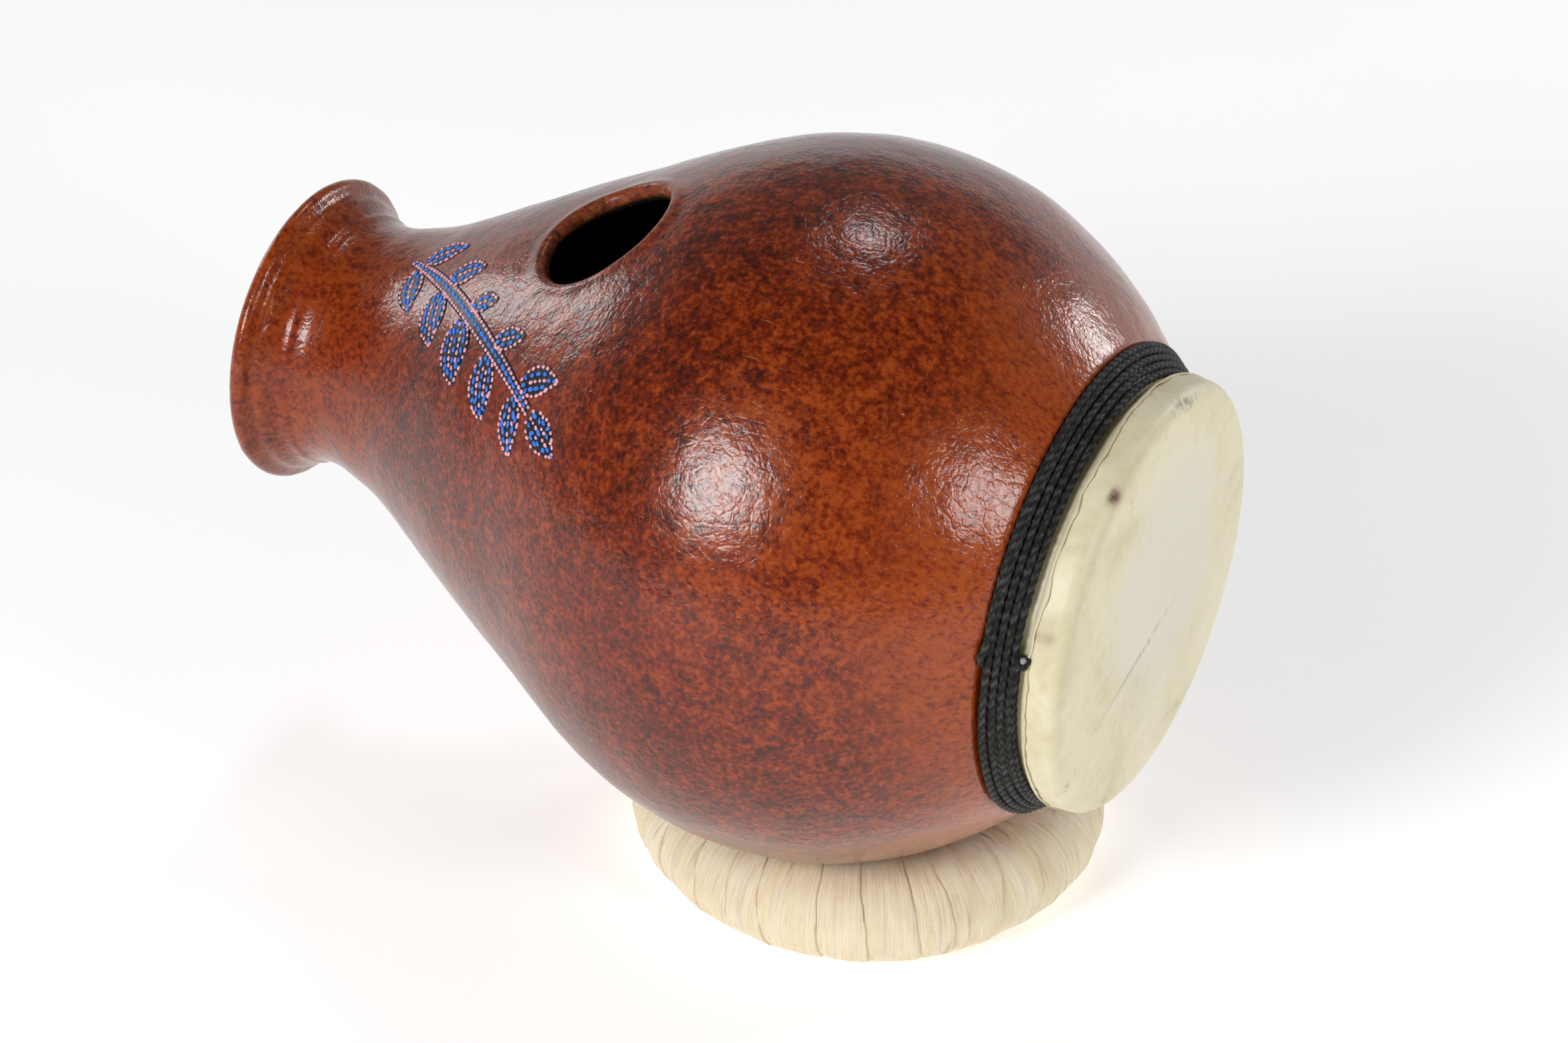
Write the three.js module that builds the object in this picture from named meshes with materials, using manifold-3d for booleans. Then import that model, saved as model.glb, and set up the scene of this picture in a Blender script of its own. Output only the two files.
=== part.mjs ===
// A clay pot drum lying on its ring stand.
// The pot is one fired shell: a flared mouth and short neck on the left, a round belly with a hand hole
// on top, and on the right a lipped opening with a goatskin head. A black braided cord wound in the
// groove behind the lip binds the skin. The belly rests, held only by its weight, in a ring of straw
// wrapped in strips of dry husk.
// Millimetres, +Z up, +X towards the head. The origin is on the floor, in the middle of the footprint.
import * as THREE from "three";
import { mergeVertices } from "three/addons/utils/BufferGeometryUtils.js";
import Module from "manifold-3d";

// The pot's own axis is +X and its origin is the middle of the belly, where the pot is widest.
const BELLY_RADIUS = 140;
const WALL = 7;
const AXIS_TILT = THREE.MathUtils.degToRad(2); // the head end lies this much lower than the mouth
const POT_SIDES = 48;
const HOLE_SIDES = 32;
const OUTSIDE_ROWS = 20; // along the line from the neck to the groove
const INSIDE_ROWS = 15;
const WELD = 1e-3; // points closer than this are one point

// The mouth, at the low end of X: a flared rim with two shallow throwing steps behind it.
const MOUTH_X = -239.5;
const MOUTH_RADIUS = 61.5;
const MOUTH_RIM = 6.5;
const MOUTH_BORE = 41;

// The head end: a groove for the cord, then a lip for the skin.
const HEAD_X = 133.3; // the skin's face
const HEAD_RADIUS = 84.3;
const LIP_CORNER = 4.5;
const OPENING_RADIUS = 70;
const SKIN = 1;
const GAP = 0.3; // between pieces that touch

// The cord: turns side by side up the groove's slope, from the lip to the shoulder.
const CORD_DIAMETER = 2.5;
const CORD_TURNS = 5;
const CORD_STEPS = 36; // a turn
const CORD_SIDES = 8;
const CORD_LOW = new THREE.Vector2(115.4, 83); // x and radius of the winding's middle line beside the lip
const CORD_HIGH = new THREE.Vector2(105.2, 91); // and beside the shoulder
const KNOT_ANGLE = THREE.MathUtils.degToRad(78); // round the pot's axis, from straight up towards -Y
const KNOT_RADIUS = 2.8;
const KNOT_SIDES = 10;
const KNOT_ROWS = 8;

// The hand hole, on the upper side of the shoulder and square to its wall.
const HOLE_X = -88;
const HOLE_RADIUS = 27.5;
const HOLE_DISTANCE = 111; // of its middle from the pot's axis
const HOLE_LEAN = THREE.MathUtils.degToRad(27); // of its axis towards the mouth
const HOLE_ANGLE = THREE.MathUtils.degToRad(15); // round the pot's axis, from straight up towards -Y

// The ring stand.
const RING_RADIUS = 70; // to the middle of the tube
const TUBE_HALF_WIDTH = 23;
const TUBE_HALF_HEIGHT = 20;
const TUBE_MIDDLE = 18.5; // height of the tube's middle above the floor, so its underside is flat
const HUSK = 1.9;
const HUSK_STRIPS = 28;
const HUSK_SIDES = 12; // of the tube's section
const RING_X = 4; // of the ring's middle from the belly's middle

const CLAY = { color: 0x9c4523, roughness: 0.3, metalness: 0 };
const HIDE = { color: 0xe0d8b8, roughness: 0.6, metalness: 0 };
const CORD = { color: 0x17171a, roughness: 0.8, metalness: 0 };
const DRY_HUSK = { color: 0xdbc9a3, roughness: 0.75, metalness: 0 };
const STRAW = { color: 0xb39a63, roughness: 0.9, metalness: 0 };

const wasm = await Module();
wasm.setup();

function part(name, geometry, look) {
  const mesh = new THREE.Mesh(geometry, new THREE.MeshStandardMaterial(look));
  mesh.name = name;
  return mesh;
}

// A solid of revolution about the X axis, from (x, radius) points that form a loop or end on the axis.
function revolve(outline, sides) {
  const profile = outline[0].y === 0 ? outline : [...outline, outline[0]];
  const turned = profile.map((p) => new THREE.Vector2(p.y, p.x));
  return new THREE.LatheGeometry(turned, sides).rotateZ(-Math.PI / 2);
}

function toManifold(geometry) {
  const bare = geometry.index ? geometry.toNonIndexed() : geometry.clone();
  bare.deleteAttribute("normal");
  bare.deleteAttribute("uv");
  const merged = mergeVertices(bare, WELD);
  return new wasm.Manifold(
    new wasm.Mesh({
      numProp: 3,
      vertProperties: merged.attributes.position.array,
      triVerts: new Uint32Array(merged.index.array),
    }),
  );
}

function fromManifold(solid) {
  const { vertProperties, triVerts } = solid.getMesh();
  return new THREE.BufferGeometry()
    .setAttribute("position", new THREE.BufferAttribute(vertProperties, 3))
    .setIndex(new THREE.BufferAttribute(triVerts, 1));
}

const points = (pairs) => pairs.map(([x, radius]) => new THREE.Vector2(x, radius));

// The pot's outside from the neck to the groove, as a smooth line of (x, radius) points.
function bellyLine(rows) {
  const line = new THREE.SplineCurve(
    points([
      [-207, 49.5],
      [-182, 57.5],
      [-162, 68.5],
      [-102, 103],
      [-57, 127],
      [0, BELLY_RADIUS],
      [36, 135],
      [63, 123],
      [84, 109],
      [96.8, 98.2],
      [102.9, 93.1],
    ]),
  );
  return line.getPoints(rows);
}

// A line of (x, radius) points moved inwards by a depth, or outwards by a negative one.
function insetLine(line, depth) {
  return line.map((p, i) => {
    const before = line[Math.max(i - 1, 0)];
    const after = line[Math.min(i + 1, line.length - 1)];
    const along = after.clone().sub(before).normalize();
    return new THREE.Vector2(p.x + along.y * depth, p.y - along.x * depth);
  });
}

// The pot's outside under the skin: the groove, the lip's back, its rim and the start of its face.
function lipLine() {
  const slope = CORD_LOW.clone().sub(CORD_HIGH).normalize();
  const inward = new THREE.Vector2(slope.y, -slope.x).multiplyScalar(CORD_DIAMETER / 2 + SKIN + 2 * GAP);
  const back = CORD_LOW.x + CORD_DIAMETER / 2 + SKIN + 2 * GAP;
  const face = HEAD_X - SKIN - GAP;
  const radius = HEAD_RADIUS - SKIN - GAP;
  return [
    CORD_HIGH.clone().add(inward),
    CORD_LOW.clone().add(inward),
    ...points([
      [back - 1.2, CORD_LOW.y - 5.3],
      [back, CORD_LOW.y - 4.2],
      [back + 0.5, radius - 2],
      [back + 2.5, radius],
      [face - LIP_CORNER, radius],
      [face - LIP_CORNER * 0.3, radius - LIP_CORNER * 0.3],
      [face, radius - LIP_CORNER],
    ]),
  ];
}

function potOutline() {
  const outside = bellyLine(OUTSIDE_ROWS);
  const inside = insetLine(bellyLine(INSIDE_ROWS), WALL).filter((p) => p.y > MOUTH_BORE + 1);
  const lip = lipLine();
  const face = lip.at(-1).x;
  const mouth = points([
    [MOUTH_X, MOUTH_BORE + 13],
    [MOUTH_X + 0.6, MOUTH_RADIUS - 1.5],
    [MOUTH_X + 2.5, MOUTH_RADIUS],
    [MOUTH_X + MOUTH_RIM, MOUTH_RADIUS - 0.6],
    [MOUTH_X + MOUTH_RIM + 3, 56.5],
    [MOUTH_X + MOUTH_RIM + 7, 53.5],
    [MOUTH_X + MOUTH_RIM + 10, 50.5],
    [MOUTH_X + MOUTH_RIM + 16, 48.5],
  ]);
  const opening = points([
    [face, OPENING_RADIUS + 2],
    [face - 2, OPENING_RADIUS],
    [CORD_LOW.x, OPENING_RADIUS],
  ]);
  const throat = points([
    [MOUTH_X + 28, MOUTH_BORE],
    [MOUTH_X + 14, MOUTH_BORE + 1],
    [MOUTH_X + 5, MOUTH_BORE + 6],
  ]);
  return [...mouth, ...outside, ...lip, ...opening, ...inside.reverse(), ...throat];
}

function potShell() {
  const shell = toManifold(revolve(potOutline(), POT_SIDES));
  const cutter = new THREE.CylinderGeometry(HOLE_RADIUS, HOLE_RADIUS, 6 * WALL, HOLE_SIDES)
    .rotateX(Math.PI / 2)
    .rotateY(-HOLE_LEAN)
    .translate(HOLE_X, 0, HOLE_DISTANCE)
    .rotateX(HOLE_ANGLE);
  return part("pot_shell", fromManifold(shell.subtract(toManifold(cutter))), CLAY);
}

// The head: a disc turned over the lip, with a skirt that lies in the groove under the cord.
function goatskinHead() {
  const lip = lipLine();
  const middle = new THREE.Vector2(lip.at(-1).x, 0);
  const outside = insetLine([...lip, middle], -GAP - SKIN);
  const inside = insetLine([...lip, middle], -GAP);
  return part("goatskin_head", revolve([...inside.reverse(), ...outside], POT_SIDES), HIDE);
}

// The winding's middle line: a helix whose radius grows with each turn.
class Winding extends THREE.Curve {
  getPoint(t, target = new THREE.Vector3()) {
    const place = CORD_LOW.clone().lerp(CORD_HIGH, t);
    const angle = KNOT_ANGLE + t * CORD_TURNS * 2 * Math.PI;
    return target.set(place.x, -Math.sin(angle) * place.y, Math.cos(angle) * place.y);
  }
}

// One length of cord wound round the groove, with the knot that ties its end off beside the lip.
function bindingCord() {
  const section = new THREE.Shape().absarc(0, 0, CORD_DIAMETER / 2, 0, 2 * Math.PI);
  const wound = new THREE.ExtrudeGeometry(section, {
    extrudePath: new Winding(),
    steps: CORD_TURNS * CORD_STEPS,
    curveSegments: CORD_SIDES / 2,
    bevelEnabled: false,
  });
  const knot = new THREE.SphereGeometry(KNOT_RADIUS, KNOT_SIDES, KNOT_ROWS)
    .toNonIndexed()
    .translate(CORD_LOW.x + 0.4, 0, CORD_LOW.y + 1.2)
    .rotateX(KNOT_ANGLE);
  const tied = toManifold(wound).add(toManifold(knot));
  return part("binding_cord", fromManifold(tied), CORD);
}

// The tube's section with its underside cut flat, inset all round from the husk's outside.
// Its own x axis points down and its y axis to the ring's middle.
function tubeSection(inset) {
  const tall = TUBE_HALF_HEIGHT - inset;
  const wide = TUBE_HALF_WIDTH - inset;
  const flat = Math.acos((TUBE_MIDDLE - inset) / tall);
  const section = new THREE.Shape();
  for (let i = 0; i <= HUSK_SIDES; i++) {
    const angle = flat + (i / HUSK_SIDES) * 2 * (Math.PI - flat);
    const x = tall * Math.cos(angle);
    const y = wide * Math.sin(angle);
    if (i) section.lineTo(x, y);
    else section.moveTo(x, y);
  }
  section.closePath();
  return section;
}

class RingArc extends THREE.Curve {
  constructor(start, sweep) {
    super();
    this.start = start;
    this.sweep = sweep;
  }
  getPoint(t, target = new THREE.Vector3()) {
    const angle = this.start + t * this.sweep;
    return target.set(RING_RADIUS * Math.cos(angle), RING_RADIUS * Math.sin(angle), TUBE_MIDDLE);
  }
}

// One strip of husk, wrapped right round the straw core over its own share of the ring.
function huskStrip(i) {
  const share = (2 * Math.PI) / HUSK_STRIPS;
  const gap = GAP / (RING_RADIUS - TUBE_HALF_WIDTH);
  const section = tubeSection(0);
  section.holes.push(tubeSection(HUSK));
  const strip = new THREE.ExtrudeGeometry(section, {
    extrudePath: new RingArc(i * share, share - gap),
    steps: 2,
    bevelEnabled: false,
  });
  return part(`husk_strip_${String(i + 1).padStart(2, "0")}`, strip, DRY_HUSK);
}

function strawCore() {
  const section = tubeSection(HUSK + GAP).getPoints();
  const outline = section.map((p) => new THREE.Vector2(RING_RADIUS - p.y, TUBE_MIDDLE - p.x));
  const core = new THREE.LatheGeometry(outline.reverse(), 2 * HUSK_STRIPS).rotateX(Math.PI / 2);
  return part("straw_core", core, STRAW);
}

function ringStand() {
  const ring = new THREE.Group();
  ring.add(strawCore());
  for (let i = 0; i < HUSK_STRIPS; i++) ring.add(huskStrip(i));
  ring.position.x = RING_X;
  return ring;
}

// How high the belly's middle sits above the tube's middle.
// The belly is nearly a ball where it rests in the ring.
function restHeight() {
  const ball = BELLY_RADIUS + 2 * GAP;
  const step = THREE.MathUtils.degToRad(0.5);
  let highest = 0;
  for (let angle = 0; angle < Math.PI; angle += step) {
    const radius = RING_RADIUS - TUBE_HALF_WIDTH * Math.cos(angle);
    const height = TUBE_HALF_HEIGHT * Math.sin(angle);
    highest = Math.max(highest, height + Math.sqrt(ball ** 2 - radius ** 2));
  }
  return highest;
}

function drum() {
  const group = new THREE.Group();
  group.add(potShell(), goatskinHead(), bindingCord());
  group.position.z = TUBE_MIDDLE + restHeight();
  group.rotation.y = AXIS_TILT;
  return group;
}

const model = new THREE.Group();
model.add(ringStand(), drum());
const middle = new THREE.Box3().setFromObject(model, true).getCenter(new THREE.Vector3());
model.position.set(-middle.x, -middle.y, 0);

export default model;
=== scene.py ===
"""A clay pot drum lying on its husk-wrapped ring stand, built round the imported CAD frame.

Lengths are in millimetres until a mesh is made. Pieces of the drum are built in the drum's own frame: its origin is
the middle of the belly, x runs along the pot towards the skin, and angles go round the pot from straight up towards -Y.
"""
import math

import bmesh
import bpy
import numpy as np
from mathutils import Matrix, Vector, noise


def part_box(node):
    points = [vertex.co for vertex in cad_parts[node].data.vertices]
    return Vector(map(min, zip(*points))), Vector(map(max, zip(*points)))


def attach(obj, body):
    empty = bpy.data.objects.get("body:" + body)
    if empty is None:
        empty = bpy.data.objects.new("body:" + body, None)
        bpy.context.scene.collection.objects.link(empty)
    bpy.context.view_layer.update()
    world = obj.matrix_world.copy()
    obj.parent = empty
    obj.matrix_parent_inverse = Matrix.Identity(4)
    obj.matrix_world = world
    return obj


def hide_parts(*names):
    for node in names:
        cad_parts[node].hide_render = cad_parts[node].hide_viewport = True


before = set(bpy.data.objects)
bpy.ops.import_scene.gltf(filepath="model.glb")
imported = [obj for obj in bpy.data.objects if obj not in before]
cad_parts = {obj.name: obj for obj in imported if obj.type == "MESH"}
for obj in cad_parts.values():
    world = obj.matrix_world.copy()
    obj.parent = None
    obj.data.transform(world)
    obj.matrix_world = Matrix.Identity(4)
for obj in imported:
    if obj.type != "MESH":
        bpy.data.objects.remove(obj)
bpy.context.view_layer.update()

MM = 0.001
TAU = 2 * math.pi

# The drum's frame, from the CAD.
AXIS_TILT = math.radians(2)
RING_X = 4
core_low, core_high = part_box("straw_core")
pot_low, pot_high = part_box("pot_shell")
RING = (core_low + core_high) / 2
RING.z = 0
BELLY = Vector((RING.x - RING_X * MM, 0, (pot_low.z + pot_high.z) / 2))
DRUM = Matrix.Translation(BELLY) @ Matrix.Rotation(AXIS_TILT, 4, "Y")
STAND = Matrix.Translation(RING + Vector((5, 6, 0)) * MM)  # the soft ring has slumped a little to one side

# The pot.
WALL = 7
COLUMNS = 224
ROW_STEP = 3
MOUTH_LINE = [
    (-209, 41.2), (-224.5, 42), (-233, 45.5), (-237.9, 50.5), (-239.8, 56), (-239.1, 59.8), (-236.9, 61.6),
    (-234.5, 61.3), (-233.1, 59.6), (-231.8, 57.4), (-230.2, 56.1), (-228.4, 55.8), (-227.1, 54.9), (-225, 53.2),
    (-222, 51.6), (-220, 51.3), (-218.8, 50.4), (-214.5, 49.4), (-209, 49.4),
]
BELLY_LINE = [
    (-203, 50.2), (-182, 57.5), (-162, 68.5), (-132, 86.5), (-102, 103), (-57, 127), (-28, 136.8), (0, 140),
    (36, 135), (63, 123.4), (84, 109.6), (96.8, 98.6), (102.7, 93.4),
]
LIP_LINE = [
    (103.5, 91.8), (103.4, 88), (113.4, 79.9), (117.2, 77.9), (118.6, 79), (119.1, 81), (121.1, 82.8),
    (127.5, 82.8), (130.6, 81.5), (131.8, 78.3), (131.8, 72), (130, 70), (115.2, 70),
]
HOLE_X, HOLE_ANGLE = -88, math.radians(15)
HOLE_PATCH = 43  # half the side of the square of wall that is remade round the hole
HOLE_LIP = [  # distance from the hole's middle, height above the wall's outside
    (35.5, 0), (33.5, 0.15), (31.8, 0.5), (30.2, 0.7), (28.9, 0.4), (28, -0.5), (27.6, -1.8), (27.5, -3.2),
    (27.8, -4.9), (28.5, -6.2), (30, -7), (33, -7),
]

# The skin and its cord.
HEAD_X, HEAD_RADIUS = 133.3, 84.3
CORD_LOW, CORD_HIGH = (115.4, 83), (105.2, 91)
CORD_DIAMETER = 2.8
CORD_TURNS = 5
KNOT_ANGLE = math.radians(78)

# The ring stand.
RING_RADIUS = 70
TUBE_HALF_WIDTH, TUBE_HALF_HEIGHT, TUBE_MIDDLE = 23, 20, 18.5
HUSK_STRIPS = 28


# ---------------------------------------------------------------- meshes

def catmull(points, step):
    """A smooth line through the points, with a point about every step."""
    p = np.array(points, float)
    p = np.vstack([2 * p[0] - p[1], p, 2 * p[-1] - p[-2]])
    line = []
    for a, b, c, d in zip(p, p[1:], p[2:], p[3:]):
        ta = 0
        tb = ta + math.sqrt(np.linalg.norm(b - a))
        tc = tb + math.sqrt(np.linalg.norm(c - b))
        td = tc + math.sqrt(np.linalg.norm(d - c))
        count = max(1, round(np.linalg.norm(c - b) / step))
        for t in np.linspace(tb, tc, count, endpoint=False):
            a1 = (tb - t) / (tb - ta) * a + (t - ta) / (tb - ta) * b
            a2 = (tc - t) / (tc - tb) * b + (t - tb) / (tc - tb) * c
            a3 = (td - t) / (td - tc) * c + (t - tc) / (td - tc) * d
            b1 = (tc - t) / (tc - ta) * a1 + (t - ta) / (tc - ta) * a2
            b2 = (td - t) / (td - tb) * a2 + (t - tb) / (td - tb) * a3
            line.append((tc - t) / (tc - tb) * b1 + (t - tb) / (tc - tb) * b2)
    line.append(p[-2])
    return np.array(line)


def normals_of(line):
    """The outward normal at each point of a line of (x, radius) that runs towards +x on the outside."""
    along = np.gradient(line, axis=0)
    along /= np.linalg.norm(along, axis=1)[:, None]
    return np.stack([-along[:, 1], along[:, 0]], 1)


def turned(x, radius, angle):
    """Points of the drum's frame from x, radius and the angle round the pot."""
    x, radius, angle = np.broadcast_arrays(x, radius, angle)
    return np.stack([x, -np.sin(angle) * radius, np.cos(angle) * radius], -1)


def field(points, scale, seed=0.0, octaves=3):
    """Smooth noise of about -1 to 1 at each point. The scale is the size of its features."""
    shift = Vector((seed * 7.3, seed * 3.1, seed * 5.7))
    flat = np.asarray(points, float).reshape(-1, 3) / scale
    values = [noise.fractal(Vector(p) + shift, 1.0, 2.0, octaves) for p in flat]
    return np.array(values).reshape(np.shape(points)[:-1])


def grid_faces(rows, columns, close_rows=False, close_columns=False, start=0):
    """Quads of a grid of vertices numbered row by row."""
    faces = []
    for i in range(rows if close_rows else rows - 1):
        for j in range(columns if close_columns else columns - 1):
            i2, j2 = (i + 1) % rows, (j + 1) % columns
            faces.append([start + a * columns + b for a, b in ((i, j), (i, j2), (i2, j2), (i2, j))])
    return faces


def piece(name, points, faces, place, material, body, replaces=(), smooth=True, attributes=None, uv=None):
    """A mesh piece, from points in millimetres, placed by a matrix and riding on a CAD body."""
    mesh = bpy.data.meshes.new(name)
    mesh.from_pydata([tuple(p) for p in np.asarray(points, float) * MM], [], faces)
    for key, values in (attributes or {}).items():
        layer = mesh.attributes.new(key, "FLOAT", "POINT")
        layer.data.foreach_set("value", np.asarray(values, np.float32).ravel())
    if uv is not None:
        loops = np.zeros(len(mesh.loops), int)
        mesh.loops.foreach_get("vertex_index", loops)
        mesh.uv_layers.new(name="UVMap").data.foreach_set("uv", np.asarray(uv, np.float32)[loops].ravel())
    work = bmesh.new()
    work.from_mesh(mesh)
    bmesh.ops.recalc_face_normals(work, faces=work.faces)
    work.to_mesh(mesh)
    work.free()
    if smooth:
        mesh.shade_smooth()
    mesh.materials.append(material)
    made = bpy.data.objects.new(name, mesh)
    bpy.context.scene.collection.objects.link(made)
    made.matrix_world = place
    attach(made, body)
    if replaces:
        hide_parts(*replaces)
    return made


# ---------------------------------------------------------------- materials

class Nodes:
    """A small helper that writes shader nodes as function calls. Sockets go in and come out."""

    def __init__(self, name):
        self.material = bpy.data.materials.new(name)
        self.material.use_nodes = True
        self.tree = self.material.node_tree
        self.shader = self.tree.nodes["Principled BSDF"]

    def node(self, kind, inputs=None, **settings):
        made = self.tree.nodes.new(kind)
        for key, value in settings.items():
            setattr(made, key, value)
        for key, value in (inputs or {}).items():
            self.put(made.inputs[key], value)
        return made

    def put(self, socket, value):
        if isinstance(value, bpy.types.NodeSocket):
            self.tree.links.new(value, socket)
        else:
            socket.default_value = value

    def set(self, **inputs):
        for key, value in inputs.items():
            self.put(self.shader.inputs[key.replace("_", " ")], value)

    def here(self):
        return self.node("ShaderNodeTexCoord").outputs["Object"]

    def uv(self):
        return self.node("ShaderNodeTexCoord").outputs["UV"]

    def attribute(self, name):
        return self.node("ShaderNodeAttribute", attribute_name=name).outputs["Fac"]

    def stretched(self, vector, scale):
        made = self.node("ShaderNodeMapping", {"Vector": vector, "Scale": scale})
        return made.outputs["Vector"]

    def noise(self, vector, scale, detail=3.0, roughness=0.5, distortion=0.0):
        inputs = {"Vector": vector, "Scale": scale, "Detail": detail, "Roughness": roughness}
        made = self.node("ShaderNodeTexNoise", {**inputs, "Distortion": distortion})
        return made.outputs["Fac"]

    def cells(self, vector, scale, feature="F1", randomness=1.0):
        inputs = {"Vector": vector, "Scale": scale, "Randomness": randomness}
        return self.node("ShaderNodeTexVoronoi", inputs, feature=feature).outputs["Distance"]

    def ramp(self, value, *stops):
        made = self.node("ShaderNodeValToRGB", {"Fac": value})
        elements = made.color_ramp.elements
        while len(elements) < len(stops):
            elements.new(0.5)
        for element, (place, colour) in zip(elements, stops):
            element.position = place
            element.color = colour if hasattr(colour, "__len__") else (colour, colour, colour, 1)
        return made.outputs["Color"]

    def band(self, value, low, high, first=0.0, last=1.0):
        """Goes smoothly from first to last as value goes from low to high."""
        inputs = {"Value": value, "From Min": low, "From Max": high, "To Min": first, "To Max": last}
        made = self.node("ShaderNodeMapRange", inputs, interpolation_type="SMOOTHSTEP")
        return made.outputs["Result"]

    def mix(self, factor, first, second, blend="MIX"):
        made = self.node("ShaderNodeMix", data_type="RGBA", blend_type=blend)
        for index, value in ((0, factor), (6, first), (7, second)):
            self.put(made.inputs[index], value)
        return made.outputs[2]

    def math(self, operation, first, second=0.0, clamp=False):
        made = self.node("ShaderNodeMath", operation=operation, use_clamp=clamp)
        self.put(made.inputs[0], first)
        self.put(made.inputs[1], second)
        return made.outputs[0]

    def split(self, vector):
        return self.node("ShaderNodeSeparateXYZ", {"Vector": vector}).outputs

    def bump(self, height, distance, strength=1.0, under=None):
        inputs = {"Height": height, "Distance": distance, "Strength": strength}
        if under is not None:
            inputs["Normal"] = under
        return self.node("ShaderNodeBump", inputs).outputs["Normal"]


def rgb(red, green, blue):
    """A colour from its 0 to 255 sRGB values."""
    def linear(v):
        v /= 255
        return v / 12.92 if v <= 0.04045 else ((v + 0.055) / 1.055) ** 2.4
    return (linear(red), linear(green), linear(blue), 1)


def clay_material():
    """Burnished clay: orange, mottled with maroon and near-black, plain and streaked near the skin."""
    n = Nodes("burnished_clay")
    here = n.here()
    x = n.split(here)[0]
    zone = n.noise(here, 11, 2, 0.5, 0.4)
    clumps = n.noise(here, 150, 3, 0.6, 0.2)
    grain = n.noise(here, 460, 2, 0.55, 0.2)
    fine = n.noise(here, 1500, 2, 0.5)
    streaks = n.noise(n.stretched(here, (90, 480, 480)), 1, 3, 0.6, 0.2)

    mottle = n.math("ADD", n.math("MULTIPLY", clumps, 0.45), n.math("MULTIPLY", grain, 0.55))
    shade = n.math("ADD", mottle, n.math("MULTIPLY", n.math("SUBTRACT", zone, 0.5), 0.25))
    shade = n.math("ADD", shade, n.band(x, -0.02, 0.07, 0.0, 0.045))
    shade = n.math("ADD", shade, n.band(x, -0.20, -0.14, 0.075, 0.0))
    shade = n.math("SUBTRACT", shade, n.math("MULTIPLY", n.attribute("spots"), -0.01))
    body = n.ramp(
        shade,
        (0.35, rgb(62, 20, 8)), (0.43, rgb(86, 27, 8)), (0.50, rgb(108, 35, 9)),
        (0.57, rgb(132, 50, 12)), (0.67, rgb(152, 66, 18)),
    )

    blots = n.cells(here, 105, randomness=0.95)
    blot = n.band(n.math("ADD", blots, n.math("MULTIPLY", grain, 0.35)), 0.38, 0.60, 1.0, 0.0)
    blot = n.math("MULTIPLY", blot, n.attribute("spots"))
    body = n.mix(n.math("MULTIPLY", blot, 0.45), body, rgb(38, 13, 9))

    plain = n.band(n.math("ADD", x, n.math("MULTIPLY", n.math("SUBTRACT", zone, 0.5), 0.07)), 0.055, 0.105)
    orange = n.ramp(
        streaks,
        (0.32, rgb(98, 32, 12)), (0.42, rgb(140, 54, 15)), (0.52, rgb(157, 68, 20)), (0.72, rgb(166, 79, 28)),
    )
    body = n.mix(n.math("MULTIPLY", plain, 0.85), body, orange)

    smoke = n.math("MULTIPLY", n.attribute("smoke"), n.band(n.noise(here, 60, 4, 0.6), 0.3, 0.62))
    body = n.mix(n.math("MULTIPLY", smoke, 0.75), body, n.ramp(grain, (0.35, rgb(48, 26, 15)), (0.6, rgb(92, 52, 30))))
    red = n.math("MULTIPLY", n.attribute("red"), 0.7)
    body = n.mix(red, body, n.ramp(grain, (0.35, rgb(96, 26, 9)), (0.6, rgb(146, 46, 15))))
    raw = n.attribute("raw")
    rough_clay = n.ramp(mottle, (0.36, rgb(78, 36, 20)), (0.50, rgb(126, 60, 32)), (0.64, rgb(158, 88, 54)))
    body = n.mix(raw, body, rough_clay)
    # painted shade: the clay inside the pot, and deep in the mouth's bore, is coloured near-black
    body = n.mix(n.attribute("inside"), body, rgb(26, 16, 12))
    scratch = n.noise(n.stretched(here, (90, 1500, 1500)), 1, 2, 0.5)
    body = n.mix(n.math("MULTIPLY", n.band(scratch, 0.70, 0.76), 0.35), body, rgb(205, 160, 130))
    n.set(Base_Color=body)

    wrinkle = n.noise(here, 380, 3, 0.55, 1.2)
    crease = n.band(n.cells(n.stretched(here, (1, 1.3, 1)), 210, "DISTANCE_TO_EDGE"), 0.0, 0.16)
    swell = n.noise(here, 140, 2, 0.5)
    pits = n.band(n.cells(here, 60), 0.02, 0.07)
    pits = n.math("ADD", pits, n.band(n.noise(here, 25, 2, 0.5), 0.5, 0.6, 1.0, 0.0), clamp=True)
    height = n.math("ADD", n.math("MULTIPLY", wrinkle, 0.42), n.math("MULTIPLY", swell, 0.9))
    height = n.math("ADD", height, n.math("MULTIPLY", crease, 0.09))
    height = n.math("ADD", height, n.math("MULTIPLY", fine, 0.05))
    height = n.math("ADD", height, n.math("MULTIPLY", pits, 0.5))
    relief = n.bump(height, 0.0004, 0.9)
    n.set(Normal=relief, Coat_Normal=relief)
    gloss = n.math("ADD", n.math("MULTIPLY", mottle, 0.36), 0.24)
    gloss = n.mix(raw, gloss, (0.6, 0.6, 0.6, 1))
    n.set(Roughness=n.mix(n.attribute("inside"), gloss, (0.85, 0.85, 0.85, 1)))
    n.shader.inputs["Specular IOR Level"].default_value = 0.12
    varnish = n.math("SUBTRACT", 0.85, n.math("MULTIPLY", n.attribute("smoke"), 0.3))
    varnish = n.math("SUBTRACT", varnish, n.math("MULTIPLY", raw, 0.6))
    n.set(Coat_Weight=n.math("MULTIPLY", varnish, n.math("SUBTRACT", 1.0, n.attribute("inside")), clamp=True))
    n.shader.inputs["Coat Roughness"].default_value = 0.15
    n.shader.inputs["Coat IOR"].default_value = 1.42
    return n.material


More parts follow.
